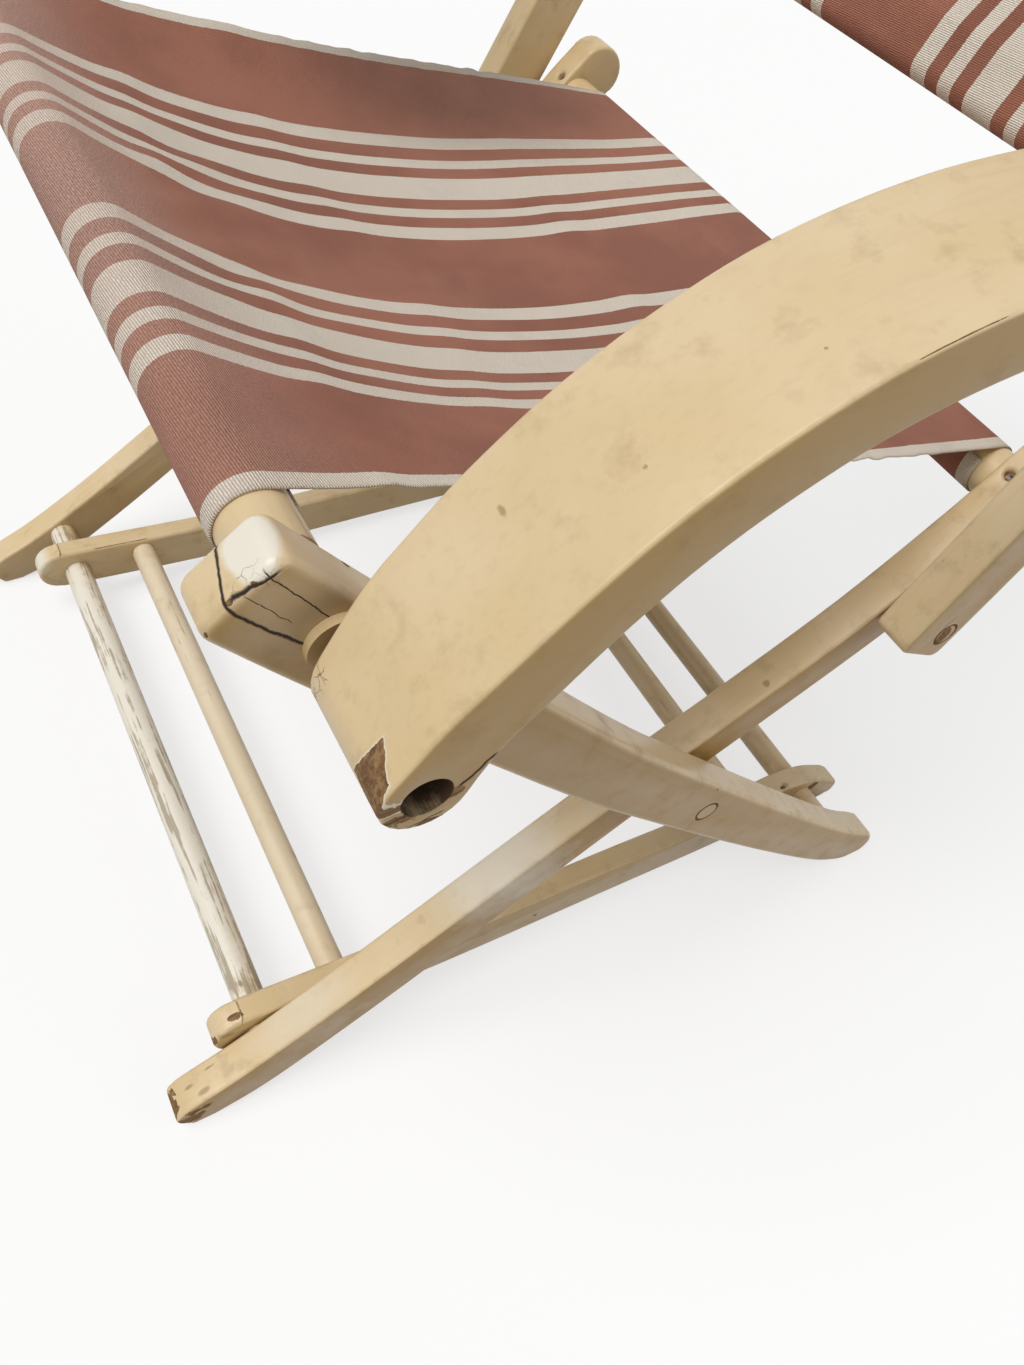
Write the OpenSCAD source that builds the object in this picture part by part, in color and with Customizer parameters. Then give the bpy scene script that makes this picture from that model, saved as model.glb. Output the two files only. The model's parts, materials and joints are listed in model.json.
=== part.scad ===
// Folding armchair of painted wood with a striped canvas seat and back.
// Side view axes: y runs from the front foot to the back, z runs up, x is the chair's width.
// +X is the sitter's left. The chair rests on z = 0, open and locked.

/* [Width] */
// Width over the outer faces of the two main legs
frame_w = 540; // [510:2:570]
// Width over the two stretcher bars, which keep to the sitter's left
stretcher_w = 460; // [440:2:470]
// Width of the canvas
canvas_w = 448; // [420:2:452]
// Seat canvas off the centre line at the front rail, towards the sitter's left
seat_shift_front = 28; // [0:1:30]
// The same at the rear rail
seat_shift_rear = 9; // [0:1:12]
// Back canvas off the centre line, towards the sitter's left
back_shift = 14; // [0:1:20]

/* [Board thickness] */
// Main legs, front foot to rear seat rail
main_t = 24; // [20:1:28]
// Crossing legs and back posts, in one plane
cross_t = 25; // [20:1:28]
// Low stretcher bars, inside the main legs
stretcher_t = 18; // [14:1:20]
// Arms, across their flat top
arm_w = 64; // [50:1:70]
// Wooden washers between turning boards
washer_t = 4; // [3:0.5:6]
// Gap between the left stretcher bar and the left main leg
stretcher_gap = 1; // [0.5:0.5:2]

/* [Round stock] */
// Both seat rails
seat_rail_d = 30; // [26:1:34]
// Upper rail of the back
back_rail_d = 28; // [24:1:32]
// Round tenon on every rail end
tenon_d = 18; // [14:1:20]
// Front tie dowel, which the stretcher turns on
front_dowel_d = 21; // [18:1:24]
// The other three dowels at the floor
dowel_d = 19; // [16:1:20]
// Wooden pivot pins of the legs and posts
pin_d = 15; // [12:1:16]
// Pegs that hold the arms' rear ends
peg_d = 16; // [12:1:18]
// Radial play of everything that turns on a pin
play = 0.08; // [0.04:0.01:0.1]

/* [Canvas] */
// Thickness of the cloth
cloth_t = 1.6; // [1:0.1:2.5]
// Sag of the seat's middle below a straight line
seat_sag = 40; // [10:1:50]
// Sag along the seat's two taut edges
seat_edge_sag = 5; // [0:1:10]
// Depth of the back's middle behind a straight line
back_sag = 24; // [5:1:30]
// Depth of the back's two taut edges behind a straight line
back_edge_sag = 6; // [0:1:10]

/* [Back] */
// Length of the back posts above their pivots
post_len = 650; // [560:5:720]
// Lean of the back posts, measured from the floor
post_lean = 60.3; // [55:0.1:70]
// Depth of the back posts, front to back
post_depth = 41; // [36:1:46]
// Height of the flat lower rail of the back
lower_rail_h = 40; // [34:1:44]
// Thickness of the flat lower rail
lower_rail_t = 18; // [16:1:20]

/* [Hidden] */
$fn = 64;

paint = "#dccfae";
paint_shade = "#cdbf9b";
cloth_colour = "#a2685a";
steel_colour = "#7d7a74";

// Layers of the frame, from the middle of the chair outwards
main_out = frame_w / 2;
main_in = main_out - main_t;
stretcher_left = main_in - stretcher_gap;
stretcher_right = stretcher_left - stretcher_w;
cross_in = main_out + washer_t;
cross_out = cross_in + cross_t;
arm_in = cross_out + washer_t;
arm_out = arm_in + arm_w;

// Pivots and rails in side view, [y, z]
leg_pivot = [332, 202.5];
post_pivot = [470.5, 299.5];
arm_pivot = [106.5, 465];
front_rail_at = [96, 479];
rear_rail_at = [534, 350.3];
front_dowel_at = [63.5, 38];
ladder_front_at = [119.5, 40];
ladder_rear_at = [459, 26];
rear_dowel_at = [511, 25];

// Back posts: a line through post_foot, leaning back
post_dir = [cos(post_lean), sin(post_lean)];
post_nrm = [sin(post_lean), -cos(post_lean)];
post_foot = post_pivot - 7 * post_nrm;
lower_rail_s = 231;
upper_rail_s = post_len - 34;
peg_s = 314;
function on_post(s, off = 0) = post_foot + s * post_dir + off * post_nrm;
peg_at = on_post(peg_s);

// The frame's origin lies under the middle of the whole chair
middle = 397.2;

// Nails through the legs' top edges into the rear rail's tenons
nail_d = 3;
nail_head_d = 6;
nail_head_h = 1.5;
nail_top = 14;
nail_deep = 8;
nail_tilt = 36;

// Turn of each canvas hem round its rail, in degrees
hem_turn = 295;
cloth_gap = 0.4;

// Hooks of the arms and the stretcher
notch_gap = 0.4;
notch_cut = 60;
arm_flare = 26;
stretcher_flare = 30;

tenon_len = 15;
blind_len = 12;
screw_d = 7;
screw_head_d = 14;
screw_head_h = 5;
counterbore_d = 17.5;
counterbore_deep = 40;
washer_d = 30;
arm_washer_d = 26;

// Outlines: stations of [y, z, half depth] from end to end
main_leg_line = [
    [2, 5, 13], [14, 13, 14.5], [50, 27, 17], [102, 57, 17], [163, 96.5, 17], [234, 144, 16.5],
    [306, 191.5, 15.5], [376, 234.5, 14.5], [447, 280, 14.5], [508, 327.5, 16.5], [540, 355, 19],
    [569, 379, 20]
];
cross_leg_line = [
    [75.2, 498.5, 19.5], [130, 430, 20], [242, 297.5, 20], [299, 236, 20], [394, 138, 19.5],
    [471, 62, 18.5], [510, 27.5, 17.5], [545, 5, 15]
];
arm_line = [
    [96.9, 452.1, 16], [106.5, 465, 16], [113, 474.5, 15], [121.5, 486, 14.3], [135.5, 500, 14],
    [160, 523.5, 13.2], [184, 543, 13], [212, 559.5, 13], [246, 573.5, 13], [289, 582.5, 13], [338, 585.5, 13],
    [450, 586, 13], [560, 584, 13.5], [606, 580, 16.5], [640, 578, 18], [664, 577, 17]
];
stretcher_line = [
    [33, 45, 17], [64, 41.5, 18], [193, 29.5, 18], [327, 25, 17.5], [405, 21.5, 16.5],
    [452, 22.5, 18], [478, 25.5, 21], [498, 25, 20.5], [516, 22, 18.5], [536, 16.5, 13],
    [553, 11.5, 8]
];

function unit(v) = v / norm(v);
function yz(p) = [p.x, p.y];

// One step of a smooth curve through four stations
function smooth(a, b, c, d, t) =
    0.5 * (2 * b + (c - a) * t + (2 * a - 5 * b + 4 * c - d) * t * t
    + (3 * b - a - 3 * c + d) * t * t * t);

// The whole curve, with steps points to each pair of stations
function curve(st, steps = 5) = [
    for (i = [0 : len(st) - 2], j = [0 : steps - 1])
        smooth(st[max(i - 1, 0)], st[i], st[i + 1], st[min(i + 2, len(st) - 1)], j / steps),
    st[len(st) - 1]
];

// Direction of the curve at point i
function along(p, i) = unit(yz(p[min(i + 1, len(p) - 1)]) - yz(p[max(i - 1, 0)]));

// Point on the edge of the ribbon, side 1 to the left of travel and -1 to the right
function edge(p, i, side) =
    let (d = along(p, i)) yz(p[i]) + side * p[i].z * [-d.y, d.x];

// Square end with rounded corners of radius r, from the left of dir to its right
function end_cap(at, dir, half, r) =
    let (n = [-dir.y, dir.x], base = at - dir * r)
    concat(
        [for (a = [0 : 15 : 90]) base + n * (half - r + r * cos(a)) + dir * r * sin(a)],
        [for (a = [0 : 15 : 90]) base - n * (half - r + r * sin(a)) + dir * r * cos(a)]
    );

// Outline of a board that follows its stations, with end radii r0 and r1
module ribbon(st, r0, r1) {
    p = curve(st);
    last = len(p) - 1;
    inner = [
        for (i = [1 : last - 1])
            if (norm(yz(p[i] - p[0])) > r0 && norm(yz(p[i] - p[last])) > r1) i
    ];
    m = len(inner);
    polygon(concat(
        [for (k = [0 : m - 1]) edge(p, inner[k], 1)],
        end_cap(yz(p[last]), along(p, last), p[last].z, r1),
        [for (k = [m - 1 : -1 : 0]) edge(p, inner[k], -1)],
        end_cap(yz(p[0]), -along(p, 0), p[0].z, r0)
    ));
}

// Stands a side view outline up as a board between x0 and x1
module board(x0, x1) {
    translate([x0, -middle, 0]) rotate([90, 0, 90]) linear_extrude(x1 - x0) children();
}

// Round bar along x at a side view point, or the hole for it
module bar(at, d, x0, x1) {
    translate([x0, at.x - middle, at.y]) rotate([0, 90, 0]) cylinder(d = d, h = x1 - x0);
}

// Sitter's right as the mirror of the left
module at_side(side) {
    if (side > 0) children();
    else mirror([1, 0, 0]) children();
}

module both_sides() {
    children();
    mirror([1, 0, 0]) children();
}

// Side view outline of the parts above the floor
module above_floor() {
    intersection() {
        children();
        translate([-100, 0]) square([1000, 1200]);
    }
}

module main_leg(side) {
    at_side(side) difference() {
        board(main_in, main_out) above_floor() ribbon(main_leg_line, 8, 19.5);
        bar(leg_pivot, pin_d + 2 * play, main_in - 1, main_out + 1);
        bar(post_pivot, pin_d + 2 * play, main_in - 1, main_out + 1);
        bar(front_dowel_at, front_dowel_d, main_in - 1, main_in + tenon_len);
        bar(rear_rail_at, tenon_d, main_in - 1, main_in + tenon_len);
        nail(open = 8);
    }
}

// Place of the nail: on the tenon's middle, driven in through the leg's top edge
module nail_place() {
    translate([main_in + 9, rear_rail_at.x - middle, rear_rail_at.y])
        rotate([nail_tilt, 0, 0]) children();
}

// Nail, or its hole when open lets the head's recess run out through the top
module nail(open = 0) {
    nail_place() {
        translate([0, 0, -nail_deep]) cylinder(d = nail_d, h = nail_deep + nail_top - 1);
        translate([0, 0, nail_top - nail_head_h])
            cylinder(d = nail_head_d, h = nail_head_h + open);
    }
}

module left_main_leg() { color(paint) main_leg(1); }
module right_main_leg() { color(paint) main_leg(-1); }

module rear_seat_rail() {
    color(paint) difference() {
        union() {
            bar(rear_rail_at, seat_rail_d, -main_in, main_in);
            bar(rear_rail_at, tenon_d, -main_in - tenon_len, main_in + tenon_len);
        }
        both_sides() nail();
    }
}

module rear_rail_nails() {
    color(steel_colour) both_sides() nail();
}

module front_tie_dowel() {
    color(paint) bar(front_dowel_at, front_dowel_d, -main_in - tenon_len, main_in + tenon_len);
}

module cross_leg(side) {
    at_side(side) difference() {
        board(cross_in, cross_out) above_floor() ribbon(cross_leg_line, 7, 14.5);
        bar(leg_pivot, pin_d, cross_in - 1, cross_out + 1);
        bar(front_rail_at, tenon_d, cross_in - 1, cross_in + tenon_len);
        bar(rear_dowel_at, dowel_d, cross_in - 1, cross_in + tenon_len);
        bar(arm_pivot, screw_d, cross_out - 20, cross_out + 1);
    }
}

module left_cross_leg() { color(paint) cross_leg(1); }
module right_cross_leg() { color(paint) cross_leg(-1); }

module front_seat_rail() {
    color(paint) {
        bar(front_rail_at, seat_rail_d, -cross_in, cross_in);
        bar(front_rail_at, tenon_d, -cross_in - tenon_len, cross_in + tenon_len);
    }
}

module rear_tie_dowel() {
    color(paint) bar(rear_dowel_at, dowel_d, -cross_in - tenon_len, cross_in + tenon_len);
}

// Pivot pins, flush with the post or leg outside and the main leg inside
module pivot_pins(at) {
    both_sides() bar(at, pin_d, main_in, cross_out);
}

// Round wooden washer between the main leg and the board outside it
module pivot_washers(at) {
    both_sides() difference() {
        bar(at, washer_d, main_out, cross_in);
        bar(at, pin_d, main_out - 1, cross_in + 1);
    }
}

module leg_pivot_pins() { color(paint_shade) pivot_pins(leg_pivot); }
module leg_washers() { color(paint_shade) pivot_washers(leg_pivot); }
module post_pivot_pins() { color(paint_shade) pivot_pins(post_pivot); }
module post_washers() { color(paint_shade) pivot_washers(post_pivot); }

// Coach screw at the bottom of the arm's counterbore
module arm_screws() {
    seat = arm_out - counterbore_deep;
    color(steel_colour) both_sides() {
        bar(arm_pivot, screw_d, cross_out - 20, seat);
        difference() {
            bar(arm_pivot, screw_head_d, seat, seat + screw_head_h);
            board(seat + screw_head_h - 1.5, seat + screw_head_h + 1)
                translate(arm_pivot) rotate(35) square([screw_head_d + 2, 1.6], center = true);
        }
    }
}

module arm_washers() {
    color(paint_shade) both_sides() difference() {
        bar(arm_pivot, arm_washer_d, cross_out, arm_in);
        bar(arm_pivot, screw_d, cross_out - 1, arm_in + 1);
    }
}

module back_post(side) {
    line = [for (s = [-18, 60, post_len]) concat(on_post(s), s > 100 ? post_depth / 2 - 2 : post_depth / 2)];
    at_side(side) difference() {
        board(cross_in, cross_out) ribbon(line, 7, 15);
        bar(post_pivot, pin_d, cross_in - 1, cross_out + 1);
        for (s = [lower_rail_s, upper_rail_s])
            bar(on_post(s), tenon_d, cross_in - 1, cross_in + tenon_len);
        bar(peg_at, peg_d, cross_out - 12, cross_out + 1);
    }
}

module left_back_post() { color(paint) back_post(1); }
module right_back_post() { color(paint) back_post(-1); }

module rail_tenons(s) {
    bar(on_post(s), tenon_d, -cross_in - tenon_len, cross_in + tenon_len);
}

// Flat rail with rounded long edges, its broad sides along the posts
module lower_back_rail() {
    reach = (lower_rail_h - lower_rail_t) / 2;
    color(paint) {
        board(-cross_in, cross_in) translate(on_post(lower_rail_s)) rotate(post_lean) {
            square([2 * reach, lower_rail_t], center = true);
            for (s = [-reach, reach]) translate([s, 0]) circle(d = lower_rail_t);
        }
        rail_tenons(lower_rail_s);
    }
}

module upper_back_rail() {
    color(paint) {
        bar(on_post(upper_rail_s), back_rail_d, -cross_in, cross_in);
        rail_tenons(upper_rail_s);
    }
}

module arm_pegs() {
    color(paint_shade) both_sides() bar(peg_at, peg_d, cross_out - 12, arm_out - 4);
}

// Notch that drops over a round bar from above: its rear wall is upright and its
// front wall leaves the bar as a tangent, flare degrees off upright
module hook_notch(at, d, flare) {
    r = d / 2 + notch_gap;
    crown = [for (k = [0 : 12]) let (a = k * (180 - flare) / 12) r * [cos(a), sin(a)]];
    foot = crown[12] - notch_cut * [sin(flare), cos(flare)];
    translate(at) polygon(concat(crown, [foot, [r, -notch_cut]]));
}

module arm(side) {
    at_side(side) difference() {
        board(arm_in, arm_out) difference() {
            ribbon(arm_line, 16, 16.9);
            hook_notch(peg_at, peg_d, arm_flare);
        }
        bar(arm_pivot, screw_d + 2 * play, arm_in - 1, arm_out + 1);
        bar(arm_pivot, counterbore_d, arm_out - counterbore_deep, arm_out + 1);
    }
}

module left_arm() { color(paint) arm(1); }
module right_arm() { color(paint) arm(-1); }

module right_arm_plug() {
    color(paint_shade) mirror([1, 0, 0]) bar(arm_pivot, counterbore_d, arm_out - 14, arm_out);
}

// Stretcher bar from x0 to x1, with blind holes in its side facing the other bar
module stretcher_bar(x0, x1, blind_from) {
    difference() {
        board(x0, x1) difference() {
            ribbon(stretcher_line, 16.9, 6);
            hook_notch(rear_dowel_at, dowel_d, stretcher_flare);
        }
        bar(front_dowel_at, front_dowel_d + 2 * play, x0 - 1, x1 + 1);
        for (at = [ladder_front_at, ladder_rear_at])
            bar(at, dowel_d, blind_from, blind_from + blind_len + 1);
    }
}

module left_stretcher_bar() {
    x0 = stretcher_left - stretcher_t;
    color(paint) stretcher_bar(x0, stretcher_left, x0 - 1);
}

module right_stretcher_bar() {
    x1 = stretcher_right + stretcher_t;
    color(paint) stretcher_bar(stretcher_right, x1, x1 - blind_len);
}

module ladder_dowel(at) {
    end = stretcher_t - blind_len;
    color(paint) bar(at, dowel_d, stretcher_right + end, stretcher_left - end);
}

module stretcher_front_dowel() { ladder_dowel(ladder_front_at); }
module stretcher_rear_dowel() { ladder_dowel(ladder_rear_at); }

// Arc of the cloth's middle line round a point, from angle a0 to a1
function turn(at, r, a0, a1, steps) =
    [for (k = [0 : steps]) let (a = a0 + (a1 - a0) * k / steps) at + r * [cos(a), sin(a)]];

// Hanging line from a to b that starts a0 degrees and ends a1 degrees off the straight one,
// its own two ends left out
function hanging(a, b, a0, a1, steps = 10) =
    let (d = unit(b - a), down = [d.y, -d.x], l = norm(b - a))
    [for (k = [1 : steps - 1]) let (t = k / steps)
        a + d * l * t + down * l * t * (1 - t) * ((1 - t) * tan(a0) + t * tan(a1))];

// Sheet of cloth through rows of [x, y, z], each row a line of the side view across the chair
module cloth(rows) {
    m = len(rows) - 1;
    n = len(rows[0]) - 1;
    function flat(row) = [for (q = row) [q.y, q.z, cloth_t / 2]];
    function at(side, j, i) = (side * (m + 1) + j) * (n + 1) + i;
    function quad(a, b, c, d) = [[a, b, c], [a, c, d]];
    polyhedron(
        points = [
            for (side = [1, -1], row = rows) let (line = flat(row))
                for (i = [0 : n]) let (e = edge(line, i, side)) [row[i].x, e.x - middle, e.y]
        ],
        faces = concat(
            [for (j = [0 : m - 1], i = [0 : n - 1])
                each quad(at(0, j, i), at(0, j, i + 1), at(0, j + 1, i + 1), at(0, j + 1, i))],
            [for (j = [0 : m - 1], i = [0 : n - 1])
                each quad(at(1, j, i), at(1, j + 1, i), at(1, j + 1, i + 1), at(1, j, i + 1))],
            [for (i = [0 : n - 1]) each quad(at(0, 0, i), at(1, 0, i), at(1, 0, i + 1), at(0, 0, i + 1))],
            [for (i = [0 : n - 1]) each quad(at(0, m, i), at(0, m, i + 1), at(1, m, i + 1), at(1, m, i))],
            [for (j = [0 : m - 1]) each quad(at(0, j, 0), at(0, j + 1, 0), at(1, j + 1, 0), at(1, j, 0))],
            [for (j = [0 : m - 1]) each quad(at(0, j, n), at(1, j, n), at(1, j + 1, n), at(0, j + 1, n))]
        )
    );
}

// Places of the rows across the canvas, from -1 at the sitter's right to 1 at the left
across = [-1, -0.92, -0.75, -0.5, -0.2, 0.2, 0.5, 0.75, 0.92, 1];
function bowl(edge_sag, mid_sag, u) = edge_sag + (mid_sag - edge_sag) * (1 - pow(abs(u), 2.4));

// Seat: a hem round the front rail, the hanging seat, and a hem round the rear rail
module seat_canvas() {
    r = seat_rail_d / 2 + cloth_gap + cloth_t / 2;
    span = rear_rail_at - front_rail_at;
    top = 90 + atan2(span.y, span.x);
    function line(sag) =
        let (
            a0 = atan(5.4 * sag / norm(span)),
            a1 = atan(2.1 * sag / norm(span)),
            front = turn(front_rail_at, r, top + hem_turn, top - a0, 24),
            rear = turn(rear_rail_at, r, top + a1, top - hem_turn, 24)
        )
        concat(front, hanging(front[24], rear[0], a0, a1), rear);
    function shift(y) =
        let (t = min(1, max(0, (y - front_rail_at.x) / span.x)))
        seat_shift_front + (seat_shift_rear - seat_shift_front) * t;
    color(cloth_colour) cloth([
        for (u = across) [
            for (q = line(bowl(seat_edge_sag, seat_sag, u)))
                [u * canvas_w / 2 + shift(q.x), q.x, q.y]
        ]
    ]);
}

// Back: a sleeve round the flat lower rail, the bowed back, and a hem round the upper rail
module back_canvas() {
    low_r = lower_rail_t / 2 + cloth_gap + cloth_t / 2;
    high_r = back_rail_d / 2 + cloth_gap + cloth_t / 2;
    reach = (lower_rail_h - lower_rail_t) / 2;
    front = post_lean + 90;
    span = upper_rail_s - lower_rail_s - reach;
    function line(sag) =
        let (
            a = atan(4 * sag / span),
            sleeve = concat(
                turn(on_post(lower_rail_s + reach), low_r, front - 64, front - 180, 7),
                turn(on_post(lower_rail_s - reach), low_r, front - 180, front - 360, 10),
                turn(on_post(lower_rail_s + reach), low_r, front, front - a, 2)
            ),
            upper = turn(on_post(upper_rail_s), high_r, front + a, front - hem_turn, 24)
        )
        concat(sleeve, hanging(sleeve[len(sleeve) - 1], upper[0], a, a), upper);
    color(cloth_colour) cloth([
        for (u = across) [
            for (q = line(bowl(back_edge_sag, back_sag, u)))
                [u * canvas_w / 2 + back_shift, q.x, q.y]
        ]
    ]);
}

left_main_leg();
right_main_leg();
rear_seat_rail();
rear_rail_nails();
front_tie_dowel();
left_cross_leg();
right_cross_leg();
front_seat_rail();
rear_tie_dowel();
leg_pivot_pins();
leg_washers();
arm_screws();
arm_washers();
left_back_post();
right_back_post();
lower_back_rail();
upper_back_rail();
post_pivot_pins();
post_washers();
arm_pegs();
left_arm();
right_arm();
right_arm_plug();
left_stretcher_bar();
right_stretcher_bar();
stretcher_front_dowel();
stretcher_rear_dowel();
seat_canvas();
back_canvas();
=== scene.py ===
import bpy
import json
from math import sin, cos, tan, atan, atan2, pi, exp, radians, hypot
from mathutils import Vector, Matrix, Euler, noise


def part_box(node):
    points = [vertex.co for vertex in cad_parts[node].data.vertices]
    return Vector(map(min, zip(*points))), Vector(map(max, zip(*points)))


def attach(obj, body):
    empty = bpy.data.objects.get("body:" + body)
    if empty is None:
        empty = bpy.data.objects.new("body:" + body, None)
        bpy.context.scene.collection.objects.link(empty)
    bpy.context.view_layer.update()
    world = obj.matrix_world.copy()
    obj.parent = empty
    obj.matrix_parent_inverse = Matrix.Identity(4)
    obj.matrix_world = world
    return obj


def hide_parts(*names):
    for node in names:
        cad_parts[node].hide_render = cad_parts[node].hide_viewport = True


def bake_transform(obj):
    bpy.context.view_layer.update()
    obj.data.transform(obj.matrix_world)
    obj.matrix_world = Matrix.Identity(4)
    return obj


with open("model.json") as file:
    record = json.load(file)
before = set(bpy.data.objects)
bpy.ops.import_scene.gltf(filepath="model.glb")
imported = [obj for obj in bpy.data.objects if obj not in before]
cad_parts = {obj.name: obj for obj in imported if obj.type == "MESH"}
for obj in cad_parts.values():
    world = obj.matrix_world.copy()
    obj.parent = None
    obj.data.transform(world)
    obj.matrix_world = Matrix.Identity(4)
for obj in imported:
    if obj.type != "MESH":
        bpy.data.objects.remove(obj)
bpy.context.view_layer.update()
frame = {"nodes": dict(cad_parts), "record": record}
print("frame loaded:", len(frame["nodes"]), "nodes")


def hexColour(code):  # sRGB hex to linear
    parts = [int(code[i:i + 2], 16) / 255 for i in (0, 2, 4)]
    return tuple(c / 12.92 if c < 0.04045 else ((c + 0.055) / 1.055) ** 2.4 for c in parts) + (1,)


def addNode(tree, kind, *inputs, out=0, **settings):
    # a node with its settings; inputs are sockets or values in order, or one dictionary of them
    node = tree.nodes.new("ShaderNode" + kind)
    for name, value in settings.items():
        setattr(node, name, value)
    named = inputs[0] if inputs and isinstance(inputs[0], dict) else dict(enumerate(inputs))
    for name, value in named.items():
        if isinstance(value, bpy.types.NodeSocket):
            tree.links.new(value, node.inputs[name])
        else:
            node.inputs[name].default_value = value
    return node.outputs[out] if len(node.outputs) else node


def newMaterial(name):
    material = bpy.data.materials.new(name)
    material.use_nodes = True
    material.node_tree.nodes.clear()
    return material, material.node_tree


def onlySelect(piece):
    bpy.ops.object.select_all(action="DESELECT")
    piece.select_set(True)
    bpy.context.view_layer.objects.active = piece


def applyModifiers(piece):
    onlySelect(piece)
    for modifier in list(piece.modifiers):
        bpy.ops.object.modifier_apply(modifier=modifier.name)


# Old brushed enamel on beech. Sizes of patches, cracks and rings are in mm, in the chair's frame.

enamel = {
    "clean": "E4CDA5",
    "aged": "D9BD8B",         # yellowed, in broad clouds
    "sideShade": "AC8642",     # the sides: painted shade, darker and yellower
    "grime": "8A6A38",        # handled edges
    "palePaintAndLight": "EFE8D8",        # almost white: thick glossy paint, and in places a painted highlight and painted light on a face in shade
    "brokenRim": "E6DCC4",    # the paint's own thickness at the rim of a chip
    "wood": "9A774E",
    "woodDark": "64462A",
    "crack": "2A1C10",
    "speck": "6B5234",        # dirt sunk in the paint
    "jointDirt": "6B4A26",
    "bore": "4A3522",
    "greyWood": "9C8B70",     # weathered wood that shows through worn brush marks
    "flakeSize": 0.0055,      # paint comes off in angular flakes
    "roughness": 0.34,
    "cloudSize": 0.050,       # metres
    "blotchSize": 0.008,
    "fineSize": 0.0016,
    "brushWidth": 0.0016,
    "grainWidth": 0.0010,
    "speckSpacing": 0.022,
    "crazeSize": 0.0042,
}


def patchMask(tree, place, wobble, centre, size, ragged=0.9, soft=0.05):  # 1 inside a ragged patch
    away = addNode(tree, "VectorMath", place, tuple(c / 1000 for c in centre), operation="SUBTRACT")
    away = addNode(tree, "VectorMath", away, tuple(1000 / s for s in size), operation="MULTIPLY")
    away = addNode(tree, "VectorMath", away, out=1, operation="LENGTH")
    away = addNode(tree, "Math", wobble, ragged, away, operation="MULTIPLY_ADD")
    return addNode(tree, "MapRange", away, 1 + ragged / 2 - soft, 1 + ragged / 2, 1.0, 0.0)


def flakeMask(tree, place, wobble, corners, front):
    # 1 inside a ragged outline on an end face; corners are (x, z), clockwise, in front of y = front
    out = addNode(tree, "VectorMath", place, (0, 1, 0), out=1, operation="DOT_PRODUCT")
    out = addNode(tree, "Math", out, front / 1000, operation="SUBTRACT")
    for a, b in zip(corners, corners[1:] + corners[:1]):
        outward = Vector((a[1] - b[1], 0, b[0] - a[0])).normalized()
        past = addNode(tree, "VectorMath", place, tuple(outward), out=1, operation="DOT_PRODUCT")
        past = addNode(tree, "Math", past, (a[0] * outward.x + a[1] * outward.z) / 1000, operation="SUBTRACT")
        out = addNode(tree, "Math", out, past, operation="MAXIMUM")
    return addNode(tree, "Math", wobble, 0.005, out, operation="MULTIPLY_ADD")


def crackMask(tree, place, wobble, centre, size, normal, width):  # 1 on a thin wandering line
    away = addNode(tree, "VectorMath", place, tuple(c / 1000 for c in centre), operation="SUBTRACT")
    off = addNode(tree, "VectorMath", away, tuple(Vector(normal).normalized()), out=1,
                  operation="DOT_PRODUCT")
    off = addNode(tree, "Math", wobble, 0.004, off, operation="MULTIPLY_ADD")
    off = addNode(tree, "Math", off, 0.002, operation="SUBTRACT")
    off = addNode(tree, "Math", off, operation="ABSOLUTE")
    near = addNode(tree, "MapRange", off, width / 4000, width / 1500, 1.0, 0.0)
    reach = addNode(tree, "VectorMath", away, tuple(1000 / s for s in size), operation="MULTIPLY")
    reach = addNode(tree, "VectorMath", reach, out=1, operation="LENGTH")
    reach = addNode(tree, "MapRange", reach, 0.8, 1.0, 1.0, 0.0)
    return addNode(tree, "Math", near, reach, operation="MULTIPLY")


def ringMask(tree, place, wobble, centre, radius, width):  # 1 on a ring round an axis along x
    away = addNode(tree, "VectorMath", place, tuple(c / 1000 for c in centre), operation="SUBTRACT")
    away = addNode(tree, "VectorMath", away, (0, 1, 1), operation="MULTIPLY")
    away = addNode(tree, "VectorMath", away, out=1, operation="LENGTH")
    off = addNode(tree, "Math", away, radius / 1000, operation="SUBTRACT")
    off = addNode(tree, "Math", off, operation="ABSOLUTE")
    off = addNode(tree, "Math", wobble, -width / 400, off, operation="MULTIPLY_ADD")
    return addNode(tree, "MapRange", off, -width / 1600, -width / 2600, 1.0, 0.0)


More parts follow.
